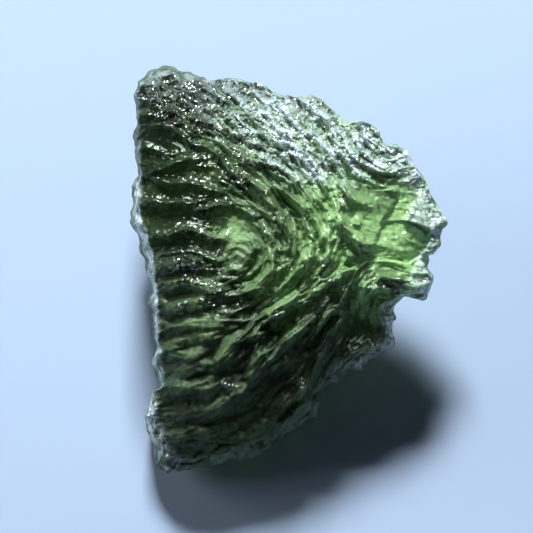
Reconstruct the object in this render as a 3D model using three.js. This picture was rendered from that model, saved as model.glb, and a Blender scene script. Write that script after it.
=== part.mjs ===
// A moldavite: one piece of natural green glass, etched into sharp ridges on its face, broken off straight
// along its left side and thin and frilled along its right, lying on a flat spot worn on its underside.
//
// The stone is worked out in face coordinates, in millimetres: s runs to the right across the sculpted face,
// t runs up it and h stands out of it. It is then tipped back so that it rests on its underside, +Z up.
import * as THREE from "three";

// How the stone lies
const leanDegrees = 20; // the face's upper end is raised by this angle
const restHeight = 8.4; // from the resting surface up to the middle of the face

// The body of the stone
const crownAt = [-1.5, 0]; // middle of the face, which angles are measured round
const crownHeight = 3.2; // swell of the face over its middle
const crownFullness = 2.3; // higher is flatter on top and steeper at the edge
const keelAt = [-5.0, -0.6]; // deepest point of the underside, before it was worn flat
const keelDepth = 11.6;
const keelFullness = 1.25;

// Fineness of the facets
const faceCells = { across: 48, up: 64 };
const backCells = { across: faceCells.across / 2, up: faceCells.up / 2 };
const sideRows = 2;

// The stone's outline in four runs, anticlockwise from its upper left corner
const outline = {
  left: [
    [-11.3, 14.3], [-11.5, 13.1], [-11.5, 10.0], [-11.4, 7.2], [-11.8, 5.5], [-11.7, 3.4], [-11.2, 2.1],
    [-10.7, 0.0], [-10.4, -2.6], [-10.1, -5.0], [-10.1, -7.6], [-9.8, -9.1], [-10.5, -10.2],
    [-10.6, -12.2], [-10.0, -14.3],
  ],
  lower: [
    [-9.2, -15.7], [-7.9, -15.5], [-6.2, -15.0], [-3.6, -14.7], [-1.5, -13.9], [0.2, -12.6], [2.2, -11.4],
    [2.8, -10.2], [3.4, -8.8], [4.8, -8.1],
  ],
  right: [
    [7.4, -6.4], [8.3, -5.7], [8.3, -3.9], [8.5, -2.7], [9.3, -2.1], [10.5, -2.1], [11.4, -1.1],
    [11.2, -0.3], [10.7, 0.5], [10.9, 1.1], [11.8, 1.8], [12.1, 3.1], [12.2, 4.0], [11.6, 5.3],
    [10.9, 6.4], [10.5, 7.6], [9.3, 8.7], [8.6, 9.7], [7.8, 9.6],
  ],
  upper: [
    [7.3, 10.5], [6.6, 11.3], [5.5, 11.5], [4.6, 11.2], [4.1, 11.6], [3.3, 12.8], [2.4, 13.2],
    [-0.4, 13.5], [-2.3, 14.5], [-3.8, 14.6], [-6.2, 14.8], [-8.1, 15.3], [-9.2, 16.0], [-10.4, 15.3],
  ],
};

// The edge, anticlockwise from the right: the angle of each station in degrees, the height of the face's rim
// there, how deep the side below it is, and how far that side stands out past the rim
const edge = [
  { at: 0, height: 0.3, depth: 0.9, ledge: 0.4 },
  { at: 20, height: 0.4, depth: 0.9, ledge: 0.4 },
  { at: 50, height: 0.0, depth: 1.2, ledge: 0.4 },
  { at: 80, height: -0.6, depth: 1.8, ledge: 0.3 },
  { at: 102, height: -0.8, depth: 2.6, ledge: 0.3 },
  { at: 116, height: -0.6, depth: 3.4, ledge: 1.5 },
  { at: 126, height: 0.6, depth: 5.6, ledge: 0.5 },
  { at: 145, height: 1.6, depth: 7.2, ledge: 1.0 },
  { at: 165, height: 2.0, depth: 8.0, ledge: 1.3 },
  { at: 200, height: 2.0, depth: 7.6, ledge: 1.0 },
  { at: 225, height: 1.0, depth: 5.0, ledge: 0.9 },
  { at: 238, height: 0.3, depth: 2.8, ledge: 1.5 },
  { at: 250, height: -0.6, depth: 1.4, ledge: 0.6 },
  { at: 268, height: -0.9, depth: 1.3, ledge: 0.6 },
  { at: 290, height: -0.8, depth: 1.8, ledge: 0.9 },
  { at: 318, height: -0.3, depth: 2.4, ledge: 0.9 },
  { at: 340, height: 0.2, depth: 1.8, ledge: 0.7 },
];

// The ridges of the face, in groups. Each is a list of points that its crest runs through. Rise is the
// crest's height over the grooves, and reach is how far its flanks take to fall away.
const ridgeGroups = [
  {
    // run in from the broken side towards the middle, top to bottom
    rise: 0.75,
    reach: 0.5,
    crests: [
      [[-11.4, 12.8], [-9.6, 12.6], [-7.7, 11.7], [-6.2, 11.2], [-4.4, 10.0]],
      [[-11.4, 10.9], [-9.6, 11.1], [-8.4, 10.6], [-7.2, 9.7], [-5.8, 9.3], [-4.9, 8.5], [-4.1, 7.4]],
      [[-11.3, 9.6], [-10.2, 9.4], [-9.0, 8.8], [-8.0, 8.0], [-6.7, 6.9]],
      [[-10.9, 7.4], [-9.6, 7.8], [-8.2, 8.3], [-6.8, 8.4], [-5.5, 8.8]],
      [[-10.9, 7.3], [-9.5, 6.9], [-7.9, 6.7], [-6.7, 6.6], [-5.5, 6.0], [-4.2, 5.7]],
      [[-10.8, 5.6], [-10.1, 5.2], [-8.5, 5.2], [-6.8, 5.2], [-5.4, 4.9], [-3.6, 4.7]],
      [[-10.5, 2.8], [-8.8, 2.8], [-7.5, 3.0], [-6.2, 2.8], [-5.2, 2.5], [-4.4, 2.8]],
      [[-9.6, 1.1], [-8.0, 1.3], [-6.4, 1.2], [-5.0, 0.7], [-4.5, 0.9]],
      [[-10.4, -0.2], [-9.0, 0.2], [-7.5, 0.5], [-5.8, 0.2]],
      [[-9.8, -1.3], [-7.5, -1.0], [-5.3, -1.5], [-3.7, -1.3]],
      [[-9.6, -2.9], [-7.5, -2.8], [-6.2, -2.5], [-4.7, -2.1]],
      [[-9.5, -4.9], [-7.5, -4.2], [-5.8, -4.0], [-3.5, -4.0]],
      [[-9.6, -5.9], [-7.9, -5.6], [-6.1, -5.1], [-4.1, -4.6]],
      [[-8.7, -8.3], [-7.5, -7.7], [-6.5, -7.4], [-5.3, -7.4], [-3.9, -5.8], [-2.2, -5.3]],
      [[-9.0, -9.3], [-7.6, -9.0], [-6.2, -8.9], [-4.6, -8.2]],
      [[-8.8, -11.2], [-6.8, -11.1], [-5.2, -10.3], [-3.8, -9.3], [-2.2, -9.1]],
      [[-9.2, -13.2], [-7.3, -12.8], [-5.8, -12.3], [-4.1, -12.0]],
    ],
  },
  {
    // sweep from the upper edge down to the right
    rise: 0.65,
    reach: 0.5,
    crests: [
      [[-8.1, 14.0], [-6.5, 12.8], [-4.5, 11.5], [-2.7, 10.0], [-1.2, 9.1]],
      [[-5.8, 14.3], [-4.1, 12.5], [-2.3, 11.4], [-0.7, 10.2], [0.5, 8.8]],
      [[-3.2, 14.0], [-1.5, 12.2], [0.2, 10.6], [1.8, 8.9], [2.8, 7.2]],
      [[-0.7, 13.2], [1.2, 11.2], [2.8, 9.2], [3.8, 7.5]],
      [[1.8, 12.9], [3.4, 11.0], [4.6, 9.2], [6.4, 7.6]],
      [[-4.2, 9.1], [-2.7, 8.6], [-1.5, 8.0], [-0.1, 6.8]],
    ],
  },
  {
    // curl round the middle on its right
    rise: 0.7,
    reach: 0.5,
    crests: [
      [[-6.7, 10.5], [-4.8, 9.5], [-3.0, 7.8], [-1.8, 6.3], [-0.7, 4.6], [0.2, 2.9], [0.3, 1.2]],
      [[-4.4, 5.4], [-2.7, 4.3], [-1.6, 3.2], [-0.9, 1.9], [-0.9, 0.4], [-1.8, -1.0]],
      [[-0.4, 6.2], [1.4, 4.2], [1.8, 3.0], [2.0, 1.8], [1.8, 0.6], [1.5, -0.5], [0.4, -1.7]],
      [[1.2, 7.1], [3.2, 4.5], [3.4, 3.0], [3.4, 1.8], [3.1, 0.6], [1.9, -0.8], [0.9, -2.0]],
      [[2.5, 8.1], [3.8, 5.4], [4.2, 3.8], [4.9, 2.8], [5.9, 1.9], [6.7, 1.8]],
    ],
  },
  {
    // sweep from the right down to the lower left
    rise: 0.85,
    reach: 0.55,
    crests: [
      [[4.5, -0.2], [3.6, -0.9], [2.3, -1.7], [1.2, -2.4], [-0.3, -3.2], [-1.8, -4.1], [-4.5, -6.3]],
      [[4.1, -1.4], [2.8, -2.7], [1.9, -3.9], [0.2, -5.3], [-1.3, -7.1], [-3.0, -8.1]],
      [[4.5, -4.1], [3.2, -5.9], [2.3, -7.6], [1.7, -8.9], [-0.1, -10.5], [-2.7, -12.8], [-5.5, -14.0]],
      [
        [9.5, -1.9], [7.6, -2.3], [7.1, -2.8], [7.3, -3.5], [7.8, -4.3], [7.4, -5.6], [5.6, -6.2],
        [4.3, -7.6],
      ],
      [[6.8, 0.0], [6.2, -1.3], [5.6, -2.2], [5.2, -3.7]],
      [[4.6, -0.8], [4.4, -2.1], [4.5, -4.1]],
    ],
  },
  {
    // low folds across the thin right side
    rise: 0.45,
    reach: 0.6,
    crests: [
      [[4.5, 11.2], [5.2, 8.8], [7.4, 7.6], [9.6, 8.0]],
      [[6.7, 7.2], [7.1, 5.2], [7.5, 3.0], [7.6, 1.2]],
      [[8.9, 6.4], [8.4, 5.0], [7.4, 3.4]],
      [[11.0, 6.0], [9.4, 4.4], [9.0, 3.4], [10.4, 2.4]],
      [[6.8, 0.0], [8.2, -0.5], [9.6, -1.2], [11.2, -1.1]],
    ],
  },
];

// Shallow hollows of the face: the middle that the ridges curl round, and the clear window on the right
const hollows = [
  { at: [-3.0, 2.4], radius: 2.2, depth: 0.8 },
  { at: [7.6, 3.0], radius: 3.0, depth: 0.7 },
  { at: [5.6, -4.0], radius: 2.0, depth: 0.8 },
];

// Lumps and pits of the underside: their lengths, how far they stand in and out, how much their rows waver,
// and how late they fade towards the edge
const pits = { s: 5.6, t: 4.8, deep: 0.5, waver: 0.6, fade: 6 };

// The wide hollow of the underside that leaves the right half of the stone thin
const scoop = { at: [5.5, 3.5], radius: 7.0, depth: 3.2 };

// Flutes down the side
const flutes = { degrees: 12, deep: 0.16 };

// How crests are drawn
const crestRounding = 0.3; // a crest is blunt over this width
const crestEnd = { share: 0.25, height: 0.35 }; // the share of its length over which it sinks, and how low
const crestBlend = 4; // power of the sum in which neighbouring crests meet
const crestSpanSteps = 4; // straight steps between two points of a crest
const curveTension = 0.5;

// How many points of the edge to each side are evened out before the stone's swell is drawn inside it
const lobeEvening = 4;

// How the grid of the facets settles inside its border
const settle = { loosePasses: 200, loosePull: 1.9, evenPasses: 600, evenPull: 1.2 };

const lean = THREE.MathUtils.degToRad(leanDegrees);
const fullTurn = 2 * Math.PI;
const { lerp, smoothstep, euclideanModulo } = THREE.MathUtils;

const distance = ([s, t], [otherS, otherT]) => Math.hypot(s - otherS, t - otherT);

function angleRound([s, t], [centreS, centreT]) {
  return euclideanModulo(Math.atan2(t - centreT, s - centreS), fullTurn);
}

// An open smooth curve through a list of [s, t] points
function smoothCurve(points) {
  const knots = points.map(([s, t]) => new THREE.Vector3(s, t, 0));
  return new THREE.CatmullRomCurve3(knots, false, "catmullrom", curveTension);
}

// The two stations round an angle, and the share of the way from the first to the second
function between(stations, angleOf, angle) {
  const found = stations.findIndex((station) => angleOf(station) > angle);
  const next = stations[found < 0 ? 0 : found];
  const last = stations[(found < 0 ? stations.length : found) - 1] ?? stations.at(-1);
  const span = euclideanModulo(angleOf(next) - angleOf(last), fullTurn);
  return { last, next, share: euclideanModulo(angle - angleOf(last), fullTurn) / span };
}

function edgeAt(angle) {
  const { last, next, share } = between(edge, (station) => THREE.MathUtils.degToRad(station.at), angle);
  const ease = smoothstep(share, 0, 1);
  const blend = (key) => lerp(last[key], next[key], ease);
  return { height: blend("height"), depth: blend("depth"), ledge: blend("ledge") };
}

const ridges = ridgeGroups.flatMap(({ rise, reach, crests }) =>
  crests.map((points) => ({
    rise,
    reach,
    path: smoothCurve(points).getPoints(crestSpanSteps * (points.length - 1)),
  })),
);

// Height of one ridge at a point of the face: a crest whose flanks hollow out, and which sinks at its ends
function crestHeight({ rise, reach, path }, point) {
  let nearest = Infinity;
  let along = 0;
  const line = new THREE.Line3();
  const foot = new THREE.Vector3();
  for (let k = 0; k + 1 < path.length; k++) {
    line.set(path[k], path[k + 1]);
    const share = line.closestPointToPointParameter(point, true);
    const gap = line.at(share, foot).distanceTo(point);
    if (gap < nearest) {
      nearest = gap;
      along = (k + share) / (path.length - 1);
    }
  }
  const taper = lerp(crestEnd.height, 1, smoothstep(Math.min(along, 1 - along), 0, crestEnd.share));
  const away = Math.hypot(nearest, crestRounding) - crestRounding;
  return rise * taper * Math.exp(-away / reach);
}

function relief([s, t]) {
  const point = new THREE.Vector3(s, t, 0);
  const crests = ridges.reduce((sum, ridge) => sum + crestHeight(ridge, point) ** crestBlend, 0);
  const sunk = hollows.reduce((sum, hollow) => sum + hollowDepth(hollow, [s, t]), 0);
  return crests ** (1 / crestBlend) - sunk;
}

// Depth of a round hollow at a point
function hollowDepth({ at, radius, depth }, point) {
  const away = distance(point, at) / radius;
  return depth * Math.exp(-away * away);
}

function undersidePits([s, t]) {
  const [waveS, waveT] = [(fullTurn * s) / pits.s, (fullTurn * t) / pits.t];
  return pits.deep * Math.sin(waveS + Math.sin(waveT)) * Math.sin(waveT + pits.waver * Math.sin(waveS));
}

// A dome inside a closed loop of points, from the loop's own heights up to a peak over a centre: its height
// at any point, and the share of the way out from the centre. The loop's small lobes are evened out.
function domeInside(loop, centre, peak, fullness) {
  const toRay = (point) => ({
    angle: angleRound(point, centre),
    radius: distance(point, centre),
    height: point[2],
  });
  const rays = loop.map(toRay).sort((one, other) => one.angle - other.angle);
  const steps = [...Array(2 * lobeEvening + 1).keys()];
  const evened = rays.map(({ angle }, k) => {
    const near = steps.map((step) => rays.at((k + step - lobeEvening) % rays.length));
    const mean = (key) => near.reduce((sum, ray) => sum + ray[key], 0) / near.length;
    return { angle, radius: mean("radius"), height: mean("height") };
  });
  return (point) => {
    const { last, next, share } = between(evened, (ray) => ray.angle, angleRound(point, centre));
    const rim = lerp(last.height, next.height, share);
    const out = Math.min(1, distance(point, centre) / lerp(last.radius, next.radius, share));
    return { out, height: rim + (peak - rim) * (1 - out ** fullness) };
  };
}

// The grid places of a border, anticlockwise from the upper left corner
function borderPlaces({ across, up }) {
  const steps = (count) => [...Array(count).keys()];
  return [
    ...steps(up).map((k) => [0, up - k]),
    ...steps(across).map((k) => [k, 0]),
    ...steps(up).map((k) => [across, k]),
    ...steps(across).map((k) => [across - k, up]),
  ];
}

// A grid of points stretched inside a closed border. Each inner point settles midway between its neighbours,
// and then again with the neighbours weighed by the cell's sides and skew, which keeps cells from folding
// over at a notch of the border.
function gridInside(border, cells) {
  const column = () => Array.from({ length: cells.up + 1 }, () => crownAt);
  const grid = Array.from({ length: cells.across + 1 }, column);
  borderPlaces(cells).forEach(([i, j], k) => {
    grid[i][j] = border[k];
  });
  for (let pass = 0; pass < settle.loosePasses + settle.evenPasses; pass++) {
    const loose = pass < settle.loosePasses;
    for (let i = 1; i < cells.across; i++) {
      for (let j = 1; j < cells.up; j++) {
        const [left, right] = [grid[i - 1], grid[i + 1]];
        const [below, above] = [grid[i][j - 1], grid[i][j + 1]];
        const along = new THREE.Vector2(right[j][0] - left[j][0], right[j][1] - left[j][1]);
        const upward = new THREE.Vector2(above[0] - below[0], above[1] - below[1]);
        const weightAcross = loose ? 1 : upward.lengthSq();
        const weightUp = loose ? 1 : along.lengthSq();
        const skew = loose ? 0 : along.dot(upward) / 2;
        grid[i][j] = [0, 1].map((axis) => {
          const twist = right[j + 1][axis] - left[j + 1][axis] - right[j - 1][axis] + left[j - 1][axis];
          const drawnAcross = weightAcross * (left[j][axis] + right[j][axis]);
          const drawnUp = weightUp * (below[axis] + above[axis]);
          const target = (drawnAcross + drawnUp - skew * twist) / (2 * (weightAcross + weightUp));
          return lerp(grid[i][j][axis], target, loose ? settle.loosePull : settle.evenPull);
        });
      }
    }
  }
  return grid;
}

// The outline in equal steps along each of its runs
const runs = [outline.left, outline.lower, outline.right, outline.upper];
const outlinePoints = runs.flatMap((run, k) => {
  const corner = runs[(k + 1) % runs.length][0];
  const steps = k % 2 ? faceCells.across : faceCells.up;
  return smoothCurve([...run, corner]).getSpacedPoints(steps).slice(0, -1);
});

// A ring of points down the side: share 0 is the face's rim and share 1 the widest ring, where the underside
// begins
function sideRing(share) {
  return outlinePoints.map(({ x, y }) => {
    const angle = angleRound([x, y], crownAt);
    const { height, depth, ledge } = edgeAt(angle);
    const flute = flutes.deep * Math.sin((360 / flutes.degrees) * angle) * Math.sin(Math.PI * share);
    const out = flute - ledge * (1 - share);
    return [x + out * Math.cos(angle), y + out * Math.sin(angle), height - depth * share];
  });
}

// Tips a point of the face frame back, and stops it at the flat spot that the stone rests on
function lay([s, t, h]) {
  const y = t * Math.cos(lean) - h * Math.sin(lean);
  const z = t * Math.sin(lean) + h * Math.cos(lean) + restHeight;
  return [s, y, Math.max(z, 0)];
}

function stoneGeometry() {
  const positions = [];
  const triangles = [];
  const addPoint = (point) => positions.push(lay(point)) - 1;

  function gap(one, other) {
    return Math.hypot(...positions[one].map((value, axis) => value - positions[other][axis]));
  }

  // A sheet of cells split along their shorter diagonals; gives its border
  function addSheet(border, cells, heightAt, facesOut) {
    const corners = gridInside(border, cells).map((column) =>
      column.map(([s, t]) => addPoint([s, t, heightAt([s, t])])),
    );
    const add = facesOut ? (a, b, c) => triangles.push(a, b, c) : (a, b, c) => triangles.push(a, c, b);
    for (let i = 0; i < cells.across; i++) {
      for (let j = 0; j < cells.up; j++) {
        const [a, b, c, d] = [corners[i][j], corners[i + 1][j], corners[i + 1][j + 1], corners[i][j + 1]];
        if (gap(a, c) < gap(b, d)) {
          add(a, b, c);
          add(a, c, d);
        } else {
          add(a, b, d);
          add(b, c, d);
        }
      }
    }
    return borderPlaces(cells).map(([i, j]) => corners[i][j]);
  }

  const rim = sideRing(0);
  const crown = domeInside(rim, crownAt, crownHeight, crownFullness);
  let upper = addSheet(rim, faceCells, (point) => crown(point).height + relief(point), true);

  for (let row = 1; row < sideRows; row++) {
    const lower = sideRing(row / sideRows).map(addPoint);
    lower.forEach((corner, k) => {
      const next = (k + 1) % lower.length;
      triangles.push(upper[k], corner, lower[next], upper[k], lower[next], upper[next]);
    });
    upper = lower;
  }

  // The last row steps down to the underside's border, which has half as many points
  const ring = sideRing(1);
  const keel = domeInside(ring, keelAt, -keelDepth, keelFullness);
  const underside = (point) => {
    const { out, height } = keel(point);
    return height + (undersidePits(point) + hollowDepth(scoop, point)) * (1 - out ** pits.fade);
  };
  const halved = ring.filter((point, k) => k % 2 === 0);
  const backBorder = addSheet(halved, backCells, underside, false);
  backBorder.forEach((corner, k) => {
    const next = backBorder[(k + 1) % backBorder.length];
    const [first, half, last] = [upper[2 * k], upper[2 * k + 1], upper[(2 * k + 2) % upper.length]];
    triangles.push(first, corner, half, half, corner, next, half, next, last);
  });

  const geometry = new THREE.BufferGeometry();
  geometry.setAttribute("position", new THREE.Float32BufferAttribute(positions.flat(), 3));
  geometry.setIndex(triangles);
  geometry.computeVertexNormals();
  return geometry;
}

// Natural green glass with a lacquer-like gloss
const greenGlass = new THREE.MeshStandardMaterial({ color: 0x3f6b2c, roughness: 0.25, metalness: 0 });

const stone = new THREE.Mesh(stoneGeometry(), greenGlass);
stone.name = "moldavite";
stone.geometry.computeBoundingBox();
const boxMiddle = stone.geometry.boundingBox.getCenter(new THREE.Vector3());
stone.position.set(-boxMiddle.x, -boxMiddle.y, 0);

const moldavite = new THREE.Group();
moldavite.add(stone);

export default moldavite;
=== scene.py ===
import math

import bpy
import numpy as np
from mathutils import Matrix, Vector


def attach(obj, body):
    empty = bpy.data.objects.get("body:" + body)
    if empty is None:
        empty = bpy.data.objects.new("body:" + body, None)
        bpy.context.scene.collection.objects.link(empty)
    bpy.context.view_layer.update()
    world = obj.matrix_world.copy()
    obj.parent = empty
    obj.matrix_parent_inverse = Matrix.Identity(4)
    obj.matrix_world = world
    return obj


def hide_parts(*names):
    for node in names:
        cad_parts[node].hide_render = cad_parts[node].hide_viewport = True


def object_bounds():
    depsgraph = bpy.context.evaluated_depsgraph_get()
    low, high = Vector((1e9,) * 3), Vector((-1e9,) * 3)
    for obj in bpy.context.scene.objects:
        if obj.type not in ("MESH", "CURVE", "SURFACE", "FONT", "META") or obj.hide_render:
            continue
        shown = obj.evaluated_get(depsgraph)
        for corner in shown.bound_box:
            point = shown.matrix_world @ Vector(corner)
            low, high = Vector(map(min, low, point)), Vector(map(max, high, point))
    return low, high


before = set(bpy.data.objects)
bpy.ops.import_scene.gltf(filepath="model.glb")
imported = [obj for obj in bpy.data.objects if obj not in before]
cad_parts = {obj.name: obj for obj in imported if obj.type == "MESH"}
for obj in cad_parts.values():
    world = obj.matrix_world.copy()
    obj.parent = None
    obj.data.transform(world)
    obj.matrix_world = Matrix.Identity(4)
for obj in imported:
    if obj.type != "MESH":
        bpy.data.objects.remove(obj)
cadLow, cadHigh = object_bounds()
print("frame loaded:", sorted(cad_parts))

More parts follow.
